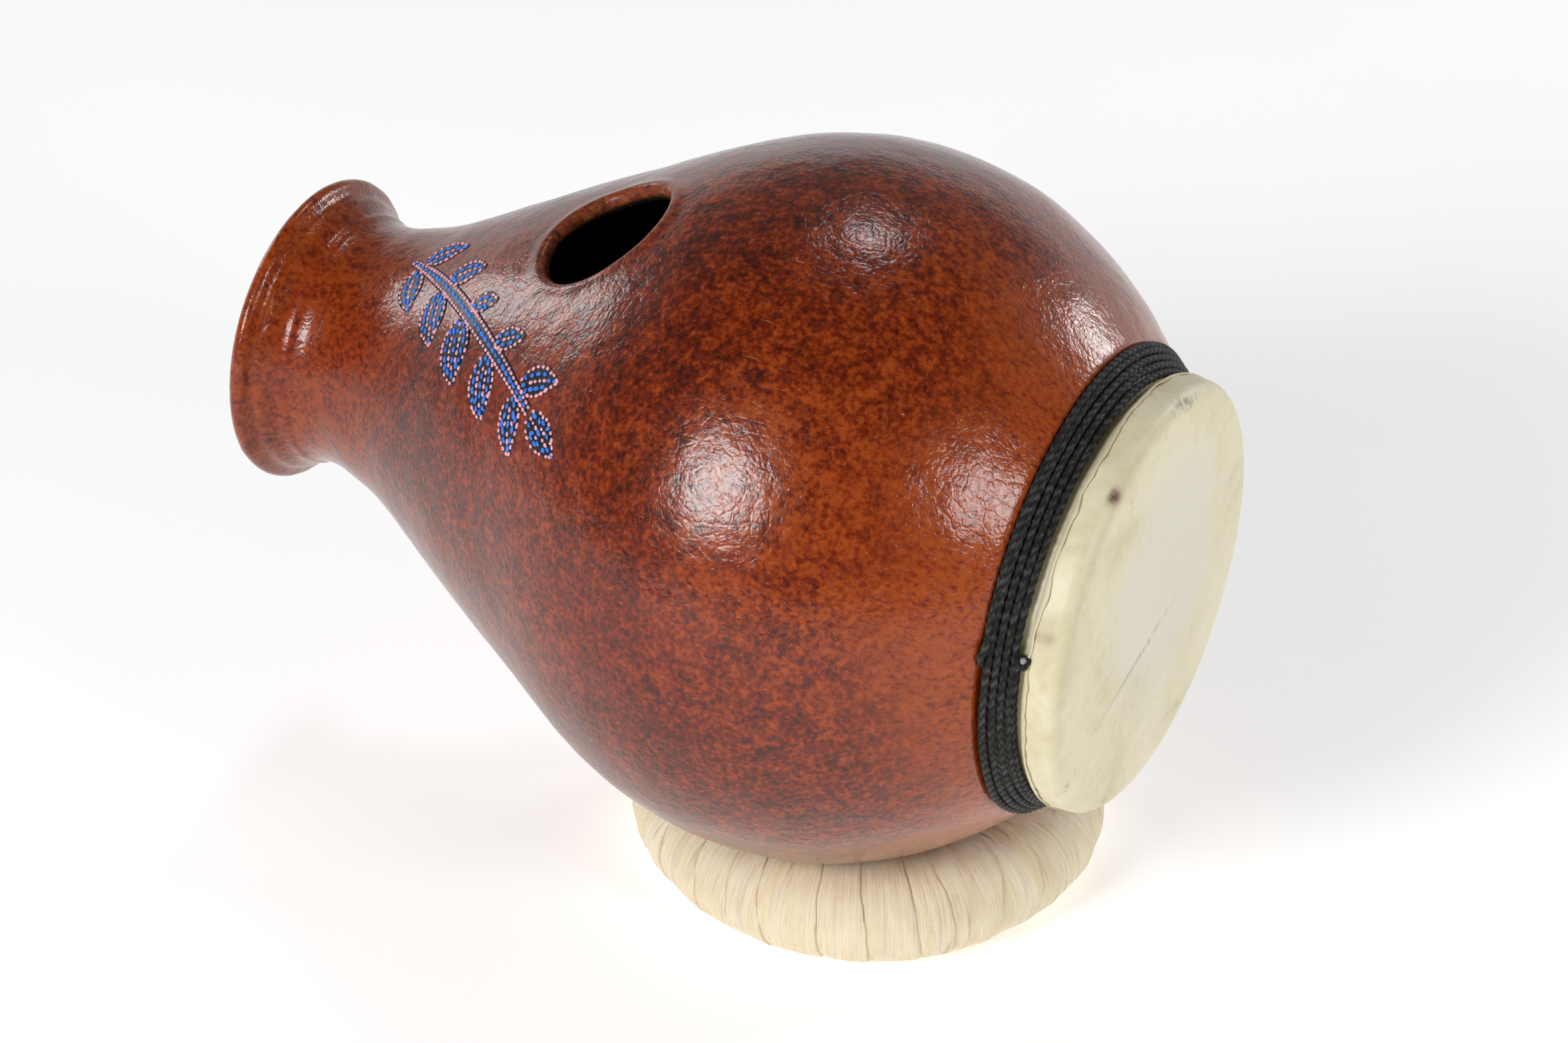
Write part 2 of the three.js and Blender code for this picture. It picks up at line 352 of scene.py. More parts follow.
def skin_material():
    """Scraped goatskin: cream at the edge and greyer in the middle, where light comes through."""
    n = Nodes("goatskin")
    here = n.here()
    _, y, z = n.split(here)
    cloud = n.noise(here, 26, 4, 0.6, 0.6)
    fibre = n.noise(here, 260, 4, 0.6)
    speck = n.noise(here, 900, 2, 0.5)
    tone = n.ramp(
        n.math("ADD", n.math("MULTIPLY", cloud, 0.75), n.math("MULTIPLY", fibre, 0.25)),
        (0.36, rgb(208, 197, 159)), (0.50, rgb(220, 211, 177)), (0.64, rgb(228, 220, 191)),
    )
    centre = n.attribute("middle")
    patch = n.band(n.math("ADD", centre, n.math("MULTIPLY", n.math("SUBTRACT", cloud, 0.5), 0.9)), 0.2, 0.8)
    tone = n.mix(n.math("MULTIPLY", patch, 0.65), tone, rgb(217, 213, 203))
    # brown: real stains on the face, and painted shade in the pleats of the side
    tone = n.mix(n.math("MULTIPLY", n.attribute("stain"), n.band(fibre, 0.1, 0.5)), tone, rgb(92, 42, 20))
    tone = n.mix(n.math("MULTIPLY", n.attribute("smudge"), n.band(fibre, 0.42, 0.62)), tone, rgb(140, 134, 118))
    tone = n.mix(n.math("MULTIPLY", n.band(n.noise(here, 75, 5, 0.65), 0.66, 0.75), 0.4), tone, rgb(176, 164, 134))
    n.set(Base_Color=tone)
    lines = n.noise(n.stretched(here, (90, 420, 420)), 1, 3, 0.6, 0.8)
    height = n.math("ADD", n.math("MULTIPLY", fibre, 0.5), n.math("MULTIPLY", speck, 0.16))
    height = n.math("ADD", height, n.math("MULTIPLY", lines, 0.3))
    n.set(Normal=n.bump(height, 0.0004, 0.5))
    n.set(Roughness=n.math("ADD", n.math("MULTIPLY", cloud, 0.2), 0.36))
    n.shader.inputs["Subsurface Weight"].default_value = 0.12
    n.shader.inputs["Subsurface Radius"].default_value = (1.0, 0.8, 0.5)
    n.shader.inputs["Subsurface Scale"].default_value = 0.002
    return n.material


def cord_material():
    """Black braided polyester cord, lighter on its high threads: partly dust, partly a painted sheen."""
    n = Nodes("black_braid")
    uv = n.uv()
    here = n.here()
    threads = n.noise(n.stretched(uv, (1, 3, 1)), 900, 2, 0.6)
    dust_and_sheen = n.noise(here, 240, 4, 0.6)
    high = n.attribute("high")
    # painted sheen and dust: the raised threads are coloured lighter in patches
    tone = n.mix(n.math("MULTIPLY", high, n.band(dust_and_sheen, 0.35, 0.7)), rgb(13, 13, 13), rgb(72, 72, 70))
    tone = n.mix(n.band(n.noise(here, 520, 2, 0.5), 0.70, 0.78), tone, rgb(112, 110, 104))
    n.set(Base_Color=tone)
    n.set(Normal=n.bump(threads, 0.00025, 0.6))
    n.set(Roughness=n.band(high, 0.0, 1.0, 0.8, 0.55))
    n.shader.inputs["Specular IOR Level"].default_value = 0.3
    n.shader.inputs["Sheen Weight"].default_value = 0.06
    n.shader.inputs["Sheen Roughness"].default_value = 0.4
    return n.material


def husk_material():
    """Dry husk: cream with fine ribs along each strip, and browner where a strip's edge lies."""
    n = Nodes("dry_husk")
    uv = n.uv()
    here = n.here()
    ribs = n.noise(n.stretched(uv, (1400, 26, 1)), 1, 3, 0.6, 0.15)
    hairs = n.noise(n.stretched(uv, (3200, 60, 1)), 1, 2, 0.5)
    cloud = n.noise(here, 45, 4, 0.6, 0.5)
    broad = n.noise(n.stretched(uv, (150, 9, 1)), 1, 3, 0.6, 0.3)
    base = n.ramp(
        n.math("ADD", n.math("MULTIPLY", ribs, 0.55), n.math("MULTIPLY", cloud, 0.45)),
        (0.34, rgb(214, 196, 166)), (0.48, rgb(233, 220, 192)), (0.62, rgb(242, 233, 210)),
    )
    yellow = n.math("ADD", n.math("MULTIPLY", n.attribute("tint"), 0.3), n.band(broad, 0.46, 0.66, 0.0, 0.55))
    base = n.mix(yellow, base, rgb(232, 213, 170))
    base = n.mix(n.band(broad, 0.34, 0.46, 0.5, 0.0), base, rgb(216, 193, 166))
    vein = n.band(hairs, 0.54, 0.70)
    base = n.mix(n.math("MULTIPLY", vein, 0.45), base, rgb(196, 164, 130))
    edge = n.math("MULTIPLY", n.attribute("edge"), n.band(n.noise(here, 130, 3, 0.6), 0.42, 0.62))
    base = n.mix(n.math("MULTIPLY", edge, 0.4), base, rgb(176, 138, 100))
    streak = n.band(n.noise(n.stretched(uv, (420, 24, 1)), 1, 3, 0.6, 0.4), 0.62, 0.72)
    base = n.mix(n.math("MULTIPLY", streak, 0.5), base, rgb(170, 134, 98))
    stain = n.band(n.noise(here, 62, 5, 0.7, 1.0), 0.64, 0.74)
    base = n.mix(n.math("MULTIPLY", stain, 0.5), base, rgb(150, 118, 86))
    n.set(Base_Color=base)
    height = n.math("ADD", n.math("MULTIPLY", ribs, 0.7), n.math("MULTIPLY", hairs, 0.3))
    n.set(Normal=n.bump(height, 0.0007, 0.9))
    n.set(Roughness=n.math("ADD", n.math("MULTIPLY", cloud, 0.25), 0.42))
    return n.material


def straw_material():
    n = Nodes("packed_straw")
    here = n.here()
    stalks = n.noise(n.stretched(here, (1, 1, 1)), 300, 3, 0.7, 2.0)
    n.set(Base_Color=n.ramp(stalks, (0.3, rgb(110, 84, 42)), (0.5, rgb(172, 142, 86)), (0.7, rgb(205, 180, 122))))
    n.set(Normal=n.bump(stalks, 0.0015, 0.9))
    n.set(Roughness=n.band(stalks, 0.2, 0.8, 0.6, 0.85))
    return n.material


def paint_material(name, low, high):
    """Hand-laid acrylic paint with a soft shine."""
    n = Nodes(name)
    here = n.here()
    brush = n.noise(here, 500, 3, 0.6)
    n.set(Base_Color=n.ramp(brush, (0.3, low), (0.7, high)))
    n.set(Normal=n.bump(brush, 0.0002, 0.5))
    n.set(Roughness=n.band(brush, 0.2, 0.8, 0.28, 0.45))
    return n.material


# ---------------------------------------------------------------- the pot

belly_rows = catmull(BELLY_LINE, ROW_STEP)
belly_normals = normals_of(belly_rows)
belly_length = np.r_[0, np.cumsum(np.linalg.norm(np.diff(belly_rows, axis=0), axis=1))]


def unevenness(points):
    """How far the hand-made wall stands out or in."""
    return 0.55 * field(points, 85, 1, 2) + 0.22 * field(points, 24, 2, 2) + 0.10 * field(points, 9, 3, 2)


def wall_point(length, angle, height=0.0):
    """A point over the pot's outside, from its distance along the belly line, its angle, and its height."""
    x, radius = (np.interp(length, belly_length, belly_rows[:, k]) for k in (0, 1))
    nx, nr = (np.interp(length, belly_length, belly_normals[:, k]) for k in (0, 1))
    base = turned(x, radius, angle)
    normal = turned(nx, nr, angle)
    return base + normal * (unevenness(base) + height)[..., None]


def blob(points, x, angle, size, stretch=1.0):
    """1 at a place on the pot's outside, falling to 0 at about size from it."""
    radius = np.interp(x, belly_rows[:, 0], belly_rows[:, 1])
    centre = turned(x, radius, math.radians(angle))
    apart = (points - centre) * (1 / stretch, 1, 1)
    return np.exp(-((np.linalg.norm(apart, axis=-1) / size) ** 2))


def pot_zones(points, inside, raw):
    """The vertex masks that the clay is coloured by."""
    x = points[:, 0]
    up = points[:, 2] / np.maximum(np.hypot(points[:, 1], points[:, 2]), 1e-6)
    front = -points[:, 1] / np.maximum(np.hypot(points[:, 1], points[:, 2]), 1e-6)
    patchy = field(points, 45, 5, 3)
    smoke = 0.5 * blob(points, -180, 95, 38, 1.3) + 0.8 * blob(points, -70, 118, 60, 1.2)
    smoke += 0.7 * blob(points, -10, 128, 50) + 0.6 * blob(points, -150, -40, 60) + 0.6 * blob(points, 20, -110, 70)
    smoke += 0.45 * np.clip((-222 - x) / 5, 0, 1) * np.clip((x + 232) / 3, 0, 1)
    spots = np.clip(0.25 + 0.9 * up + 0.5 * patchy, 0, 1) * np.clip((60 - x) / 40, 0, 1) * np.clip((x + 150) / 50, 0, 1)
    red = blob(points, -195, 62, 30) + 0.8 * blob(points, -100, 62, 34) + 0.5 * blob(points, -30, 88, 50)
    red += 0.9 * np.clip((x + 224) / 2, 0, 1) * np.clip((-217 - x) / 2, 0, 1) * np.clip(0.4 + front, 0, 1)
    return {
        "smoke": np.clip(smoke * (0.8 + 0.5 * patchy), 0, 1),
        "spots": spots,
        "red": np.clip(red * (0.8 + 0.6 * patchy), 0, 1),
        "inside": inside,
        "raw": raw,
    }


def pot_shell():
    mouth = catmull(MOUTH_LINE, 1.3)
    lip = np.array(LIP_LINE, float)
    inner = (belly_rows - WALL * belly_normals)[::-1]
    profile = np.vstack([mouth, belly_rows, lip, inner])
    first, last = len(mouth), len(mouth) + len(belly_rows)
    inner_first = last + len(lip)
    rows = len(profile)
    angles = np.arange(COLUMNS) * TAU / COLUMNS
    grid = turned(profile[:, :1], profile[:, 1:], angles[None])
    radial = turned(0, 1, angles)[None]
    push = np.zeros((rows, COLUMNS))
    push[first:last] = unevenness(grid[first:last])
    push[inner_first:] = push[first:last][::-1]
    rim = np.clip((-205 - grid[:first, :, 0]) / 10, 0, 1)
    push[:first] = rim * (0.7 * field(grid[:first], 60, 8, 2) + 0.2 * field(grid[:first], 14, 9, 2))
    push[:first] += (1 - rim) * unevenness(grid[:first])
    normals = np.zeros((rows, COLUMNS, 3))
    normals[:] = radial
    normals[first:last] = turned(belly_normals[:, :1], belly_normals[:, 1:], angles[None])
    normals[inner_first:] = normals[first:last][::-1]
    grid = grid + normals * push[..., None]

    # The square of wall round the hand hole, as row and column numbers, in order round its edge.
    hole_length = np.interp(HOLE_X, belly_rows[:, 0], belly_length)
    hole_radius = np.interp(HOLE_X, belly_rows[:, 0], belly_rows[:, 1])
    near = np.where(np.abs(belly_length - hole_length) < HOLE_PATCH)[0]
    r0, r1 = near[0], near[-1]
    reach = HOLE_PATCH / hole_radius
    c0, c1 = math.ceil((HOLE_ANGLE - reach) / TAU * COLUMNS), math.floor((HOLE_ANGLE + reach) / TAU * COLUMNS)
    edge = [(r0, c) for c in range(c0, c1)] + [(r, c1) for r in range(r0, r1)]
    edge += [(r1, c) for c in range(c1, c0, -1)] + [(r, c0) for r in range(r1, r0, -1)]
    across = np.array([
        (belly_length[r] - hole_length, (c * TAU / COLUMNS - HOLE_ANGLE) * belly_rows[r, 1]) for r, c in edge
    ])
    turn = np.arctan2(across[:, 1], across[:, 0])
    circle = np.stack([np.cos(turn), np.sin(turn)], 1)

    def ring(flat, height):
        length = hole_length + flat[:, 0]
        radius = np.interp(length, belly_length, belly_rows[:, 1])
        return wall_point(length, HOLE_ANGLE + flat[:, 1] / radius, height)

    steps = 5
    rings = []
    for k in range(1, steps):
        rings.append(ring(across + (circle * HOLE_LIP[0][0] - across) * k / steps, 0))
    for distance, height in HOLE_LIP:
        rings.append(ring(circle * distance, height))
    for k in range(1, steps):
        rings.append(ring(circle * HOLE_LIP[-1][0] + (across - circle * HOLE_LIP[-1][0]) * k / steps, -WALL))
    rings = np.array(rings)

    def outer(r, c):
        return (first + r) * COLUMNS + c % COLUMNS

    def inner_index(r, c):
        return (inner_first + len(belly_rows) - 1 - r) * COLUMNS + c % COLUMNS

    dropped = {(r, c % COLUMNS) for r in range(r0, r1) for c in range(c0, c1)}
    faces = []
    for face in grid_faces(rows, COLUMNS, True, True):
        r, c = divmod(face[0], COLUMNS)
        if (r - first, c) in dropped or (inner_first + len(belly_rows) - 2 - r, c) in dropped:
            continue
        faces.append(face)
    start = rows * COLUMNS
    count = len(edge)
    loops = [[outer(r, c) for r, c in edge]]
    loops += [[start + k * count + j for j in range(count)] for k in range(len(rings))]
    loops += [[inner_index(r, c) for r, c in edge]]
    for one, two in zip(loops, loops[1:]):
        for j in range(count):
            j2 = (j + 1) % count
            faces.append([one[j], one[j2], two[j2], two[j]])

    points = np.vstack([grid.reshape(-1, 3), rings.reshape(-1, 3)])
    # The inside mask is 1 on the inner wall and the inner part of the hand hole's wall, and fades from 1 to 0.3 over
    # the deepest rows of the mouth's bore. It roughens the clay, and it also colours the clay near-black: a painted
    # shade, darkest deepest in.
    depth = np.zeros((rows, COLUMNS))
    depth[inner_first:] = 1
    depth[:6] = np.linspace(1, 0.3, 6)[:, None]
    inside = np.r_[depth.ravel(), np.repeat([0.0] * (len(rings) - steps - 3) + [1.0] * (steps + 3), count)]
    raw_row = [0] * (steps - 1) + [0, 0, 0.1, 0.25, 0.6, 1, 1, 1, 1, 1, 0.6, 0.3] + [0] * (steps - 1)
    raw = np.r_[np.zeros(rows * COLUMNS), np.repeat(raw_row, count)]

    used = np.unique(np.concatenate([np.array(f) for f in faces]))
    renumber = -np.ones(len(points), int)
    renumber[used] = np.arange(len(used))
    faces = [[int(renumber[v]) for v in f] for f in faces]
    zones = pot_zones(points[used], inside[used], raw[used])
    return piece(
        "clay_pot", points[used], faces, DRUM, clay_material(), "drum", ("pot_shell",), attributes=zones
    )


# ---------------------------------------------------------------- the skin and its cord

def goatskin():
    face_line = [(HEAD_X - 0.1, r) for r in np.linspace(0.6, 76, 34)]
    side = catmull([
        (HEAD_X - 0.1, 76), (HEAD_X - 0.5, 79.2), (HEAD_X - 1.9, 82), (HEAD_X - 4.3, 83.9), (HEAD_X - 8, HEAD_RADIUS),
        (HEAD_X - 12, HEAD_RADIUS), (HEAD_X - 14, 83.4), (HEAD_X - 14.9, 81.8), (HEAD_X - 15.6, 80.8),
        (HEAD_X - 18.7, 81.4), (HEAD_X - 26, 87.1),
    ], 0.8)[1:]
    outside = np.vstack([face_line, side])
    along = np.gradient(outside, axis=0)
    along /= np.linalg.norm(along, axis=1)[:, None]
    inward = np.stack([-along[:, 1], along[:, 0]], 1)
    inward[:30] = (-1, 0)
    inside = outside + inward * 0.9
    columns = 288
    angles = np.arange(columns) * TAU / columns
    grid = turned(outside[:, :1], outside[:, 1:], angles[None])
    under = turned(inside[:, :1], inside[:, 1:], angles[None])
    x, radius = outside[:, :1], outside[:, 1:]
    around = np.stack(np.broadcast_arrays(np.cos(angles)[None] * 84, np.sin(angles)[None] * 84, x * 0.35), -1)
    on_side = np.clip((HEAD_X - 1 - x) / 5, 0, 1) * np.clip((x - 112) / 3, 0, 1)
    pleats = on_side * (0.32 * field(around, 3.4, 11, 2) + 0.25 * field(around, 9, 12, 2))
    pleats = pleats * np.clip((HEAD_X - 2 - x) / 9, 0.15, 1)
    for angle, size, depth in ((67, 0.05, 0.4), (71, 0.03, -0.4), (-20, 0.05, 0.6), (150, 0.06, 0.7), (222, 0.05, 0.6)):
        pinch = np.exp(-((angles[None] - math.radians(angle) % TAU) / size) ** 2)
        pleats += depth * pinch * on_side * np.clip((125 - x) / 6, 0, 1)
    wave = (1 - on_side) * np.clip(1 - radius / 86, 0, 1) ** 0.3 * 0.35 * field(grid, 38, 13, 2)
    out = -turned(inward[:, :1], inward[:, 1:], angles[None])
    grid = grid + out * (pleats + wave)[..., None]
    under = under + out * (pleats + wave)[..., None]
    rows = len(outside)
    points = np.vstack([grid.reshape(-1, 3), under[::-1].reshape(-1, 3), [(HEAD_X - 0.1, 0, 0)], [(HEAD_X - 1, 0, 0)]])
    faces = grid_faces(2 * rows, columns, False, True)
    top, bottom = 2 * rows * columns, 2 * rows * columns + 1
    for j in range(columns):
        faces.append([top, j, (j + 1) % columns])
        faces.append([bottom, (2 * rows - 1) * columns + (j + 1) % columns, (2 * rows - 1) * columns + j])

    y, z = points[:, 1], points[:, 2]
    far = np.hypot(y, z)

    def mark(y0, z0, width, height, lean=0.0):
        a = (y - y0) * math.cos(lean) + (z - z0) * math.sin(lean)
        b = (z - z0) * math.cos(lean) - (y - y0) * math.sin(lean)
        return np.exp(-((a / width) ** 2) - (b / height) ** 2)

    front = np.clip((points[:, 0] - HEAD_X + 5) / 2, 0, 1)
    side = np.clip((HEAD_X - 4 - points[:, 0]) / 3, 0, 1) * np.clip((points[:, 0] - 116) / 3, 0, 1)
    stain = 1.2 * mark(-43, 71, 3.2, 2.8) + 0.55 * mark(-13, -19, 25, 0.8, math.radians(16))
    # painted shade: brown darkening in the pleats of the skin's side, at about 66, 70 and 151 degrees where the pinches
    # are
    painted_crease_shade = 0.4 * mark(-79, 28, 1.6, 2.6) + 0.25 * mark(-76, 33, 2.5, 4) + 0.3 * mark(-41, -74, 5, 2)
    smudge = 0.9 * mark(12, 80, 8, 3) + 0.7 * mark(20, 76, 5, 2.5) + 0.8 * mark(-38, -72, 7, 3)
    smudge += 0.6 * mark(-70, -44, 10, 2, 0.8) + 0.5 * mark(30, -66, 12, 3)
    # the stain mask holds real brown stains on the face and painted shade in the pleats of the side
    masks = {
        "middle": np.clip(1.15 - np.hypot((y - 6) / 62, (z - 4) / 68), 0, 1),
        "stain": np.clip(stain * front + painted_crease_shade * side, 0, 1),
        "smudge": np.clip(smudge * front * (far > 30), 0, 1),
    }
    return piece(
        "goatskin", points, faces, DRUM, skin_look, "drum", ("goatskin_head",), attributes=masks
    )


def skin_edge():
    """The skin's trimmed edge, turned back and caught by the cord, as an uneven second layer beside it."""
    columns = 420
    angles = np.arange(columns) * TAU / columns
    ring = np.stack([np.cos(angles) * 84, np.sin(angles) * 84, 0 * angles], -1)
    reach = 1.7 + 1.3 * field(ring, 16, 21, 3) + 0.5 * field(ring, 4, 22, 2)
    reach = np.clip(reach, 0.4, 4)
    lift = 0.35 + 0.25 * field(ring, 7, 23, 2)
    start = HEAD_X - 15.1
    section = [(0, -0.6), (0.2, 0.55), (0.5, 0.75), (0.85, 0.6), (1, 0.25), (0.98, -0.1), (0.6, -0.3)]
    rows = []
    for share, height in section:
        x = start + share * (reach + 1.2)
        radius = np.interp(x, [117.6, 119.2, 121.2, 125], [81.7, 83.5, 84.4, 84.5]) + height + lift * share
        rows.append(turned(x, radius, angles))
    grid = np.array(rows)
    faces = grid_faces(len(section), columns, True, True)
    zero = np.zeros(grid.shape[0] * columns)
    masks = {"middle": zero, "stain": zero + 0.12, "smudge": zero}
    return piece("goatskin_trimmed_edge", grid.reshape(-1, 3), faces, DRUM, skin_look, "drum", attributes=masks)


def tube(path, radius, sides, relief, pitch):
    """A tube along a path, with a braid's relief. Gives its points, faces, UVs and how high each point stands."""
    path = np.asarray(path, float)
    along = np.gradient(path, axis=0)
    along /= np.linalg.norm(along, axis=1)[:, None]
    length = np.r_[0, np.cumsum(np.linalg.norm(np.diff(path, axis=0), axis=1))]
    side = np.zeros_like(path)
    reference = np.array((0.0, 0.0, 1.0)) if abs(along[0, 2]) < 0.9 else np.array((1.0, 0.0, 0.0))
    side[0] = np.cross(along[0], reference)
    side[0] /= np.linalg.norm(side[0])
    for i in range(1, len(path)):
        s = side[i - 1] - along[i] * np.dot(side[i - 1], along[i])
        side[i] = s / np.linalg.norm(s)
    other = np.cross(along, side)
    turn = np.arange(sides) * TAU / sides
    phase = length[:, None] * TAU / pitch
    strands = 3
    one = np.cos((strands * turn[None] + phase) / 2) ** 2
    two = np.cos((strands * turn[None] - phase) / 2) ** 2
    over = (np.sin(strands * turn[None]) * 0.5 + 0.5) * one + (0.5 - np.sin(strands * turn[None]) * 0.5) * two
    high = np.clip(over, 0, 1)
    size = radius * np.ones((len(path), 1)) + relief * (high - 0.5)
    ends = np.minimum(np.arange(len(path)), np.arange(len(path))[::-1])
    size = size * np.clip(np.sqrt((ends[:, None] + 0.4) / 3), 0, 1)
    points = path[:, None] + size[..., None] * (
        np.cos(turn)[None, :, None] * side[:, None] + np.sin(turn)[None, :, None] * other[:, None]
    )
    rows = len(path)
    faces = grid_faces(rows, sides, False, True)
    faces.append(list(range(sides)))
    faces.append([(rows - 1) * sides + j for j in range(sides)][::-1])
    uv = np.stack(np.broadcast_arrays(length[:, None] * MM, turn[None] * radius * MM), -1)
    return points.reshape(-1, 3), faces, uv.reshape(-1, 2), high.ravel()


def binding_cord():
    steps = 700 * CORD_TURNS
    t = np.linspace(0, 1, steps)
    low, high = np.array(CORD_LOW), np.array(CORD_HIGH)
    climb = np.clip((t * CORD_TURNS - 0.5) / (CORD_TURNS - 1), 0, 1)
    place = low + (high - low) * climb[:, None]
    outward = np.array([high[1] - low[1], low[0] - high[0]]) / np.linalg.norm(high - low)
    angle = KNOT_ANGLE + t * CORD_TURNS * TAU
    ring = np.stack([np.cos(angle) * 90, np.sin(angle) * 90, t * 55], -1)
    wobble = 0.2 * field(ring, 26, 31, 2)
    shift = 0.25 * field(ring, 34, 32, 2)
    along = (high - low) / np.linalg.norm(high - low)
    place = place + outward * wobble[:, None] + along * shift[:, None]
    path = turned(place[:, 0], place[:, 1], angle)
    points, faces, uv, high_parts = tube(path, CORD_DIAMETER / 2, 16, 0.42, 4.4)
    return piece(
        "braided_cord", points, faces, DRUM, braid_look, "drum", ("binding_cord",),
        attributes={"high": high_parts}, uv=uv,
    )


def cord_knot():
    """The knot that ties the cord's end off beside the lip, and its short cut end."""
    t = np.linspace(0, TAU, 90)
    loop = np.stack([
        0.68 * (np.sin(t) + 2 * np.sin(2 * t)), 0.68 * (np.cos(t) - 2 * np.cos(2 * t)), -0.9 * np.sin(3 * t)
    ], -1)
    end = np.array([[0, 1.2, 1.2], [0.3, 1.7, 2.2], [0.8, 2.1, 3.3]])
    at = turned(CORD_LOW[0] + 2.4, CORD_LOW[1] + 1.9, KNOT_ANGLE)
    out = turned(0.25, 1, KNOT_ANGLE)
    out = out / np.linalg.norm(out)
    side = np.cross(out, (1, 0, 0))
    side /= np.linalg.norm(side)
    frame3 = np.stack([np.cross(side, out), side, out])
    points, faces, uv, high = tube(at + loop[:-1] @ frame3, 1.25, 12, 0.3, 3.6)
    piece("cord_knot", points, faces, DRUM, braid_look, "drum", attributes={"high": high}, uv=uv)
    stub = catmull(end, 0.4)
    points, faces, uv, high = tube(at + stub @ frame3, 1.3, 12, 0.2, 3.6)
    piece("cord_end", points, faces, DRUM, melted_look, "drum", attributes={"high": high}, uv=uv)
    tail = [(CORD_HIGH[0] + 1.2, CORD_HIGH[1] + 0.9, 73), (CORD_HIGH[0] + 0.2, CORD_HIGH[1] + 2.2, 75.5),
            (CORD_HIGH[0] - 0.6, CORD_HIGH[1] + 2.1, 78), (CORD_HIGH[0] - 0.2, CORD_HIGH[1] + 0.9, 80)]
    path = catmull([turned(x, r, math.radians(a)) for x, r, a in tail], 0.5)
    points, faces, uv, high = tube(path, 1.3, 12, 0.4, 4.6)
    piece("cord_tail", points, faces, DRUM, braid_look, "drum", attributes={"high": high}, uv=uv)


# ---------------------------------------------------------------- the ring stand

def ring_shape(angle):
    """The ring's own unevenness: how far its tube's middle moves out, and how much fatter the tube is."""
    waves = [(1.29, 2.94), (0.06, 1.51), (-1.23, -1.11), (0.59, 0.52)]
    out = -0.94 + sum(c * np.cos(k * angle) + d * np.sin(k * angle) for k, (c, d) in enumerate(waves, 1))
    circle = np.stack([np.cos(angle), np.sin(angle), 0 * angle], -1)
    fat = 1 + 0.035 * field(circle, 0.55, 41, 2) + 0.02 * field(circle, 0.16, 42, 2)
    return out, fat


def tube_point(angle, turn, lift):
    """A point of the stand, in its own frame: angle round the ring, turn round the tube, height over its surface."""
    out, fat = ring_shape(angle)
    wide = TUBE_HALF_WIDTH * fat + lift
    tall = TUBE_HALF_HEIGHT * fat + lift
    distance = RING_RADIUS + out + wide * np.cos(turn)
    height = TUBE_MIDDLE + tall * np.sin(turn)
    return np.stack([distance * np.cos(angle), distance * np.sin(angle), height], -1)


def clear_of_pot(points, gap):
    """Points of the stand pressed down where the pot lies on them."""
    to_drum = DRUM.inverted() @ STAND
    turn = np.array(to_drum.to_3x3())
    shift = np.array(to_drum.translation) / MM
    there = points @ turn.T + shift
    away = np.hypot(there[..., 1], there[..., 2])
    radius = np.interp(there[..., 0], belly_rows[:, 0], belly_rows[:, 1]) + gap
    push = np.where(away < radius, radius / away, 1)
    there = there * np.stack([np.ones_like(push), push, push], -1)
    return (there - shift) @ turn


def strip_edge(i, v):
    """The angle round the ring of the edge between strips i - 1 and i, at turn v round the tube."""
    i = i % HUSK_STRIPS
    pick = [noise.noise(Vector((i * 1.7 + 0.3, k * 2.9, 0.5))) for k in range(3)]
    share = TAU / HUSK_STRIPS
    angle = i * share
    slant = 0.05 + 0.09 * pick[0] + 0.10 * math.sin(angle + 0.35)
    flat = np.stack(np.broadcast_arrays(np.cos(v) * 1.6, np.sin(v) * 1.6, 0 * v + i * 3.7), -1)
    return angle + 0.09 * pick[1] + slant * np.sin(v - 0.5) + 0.014 * field(flat, 1, 51, 2)


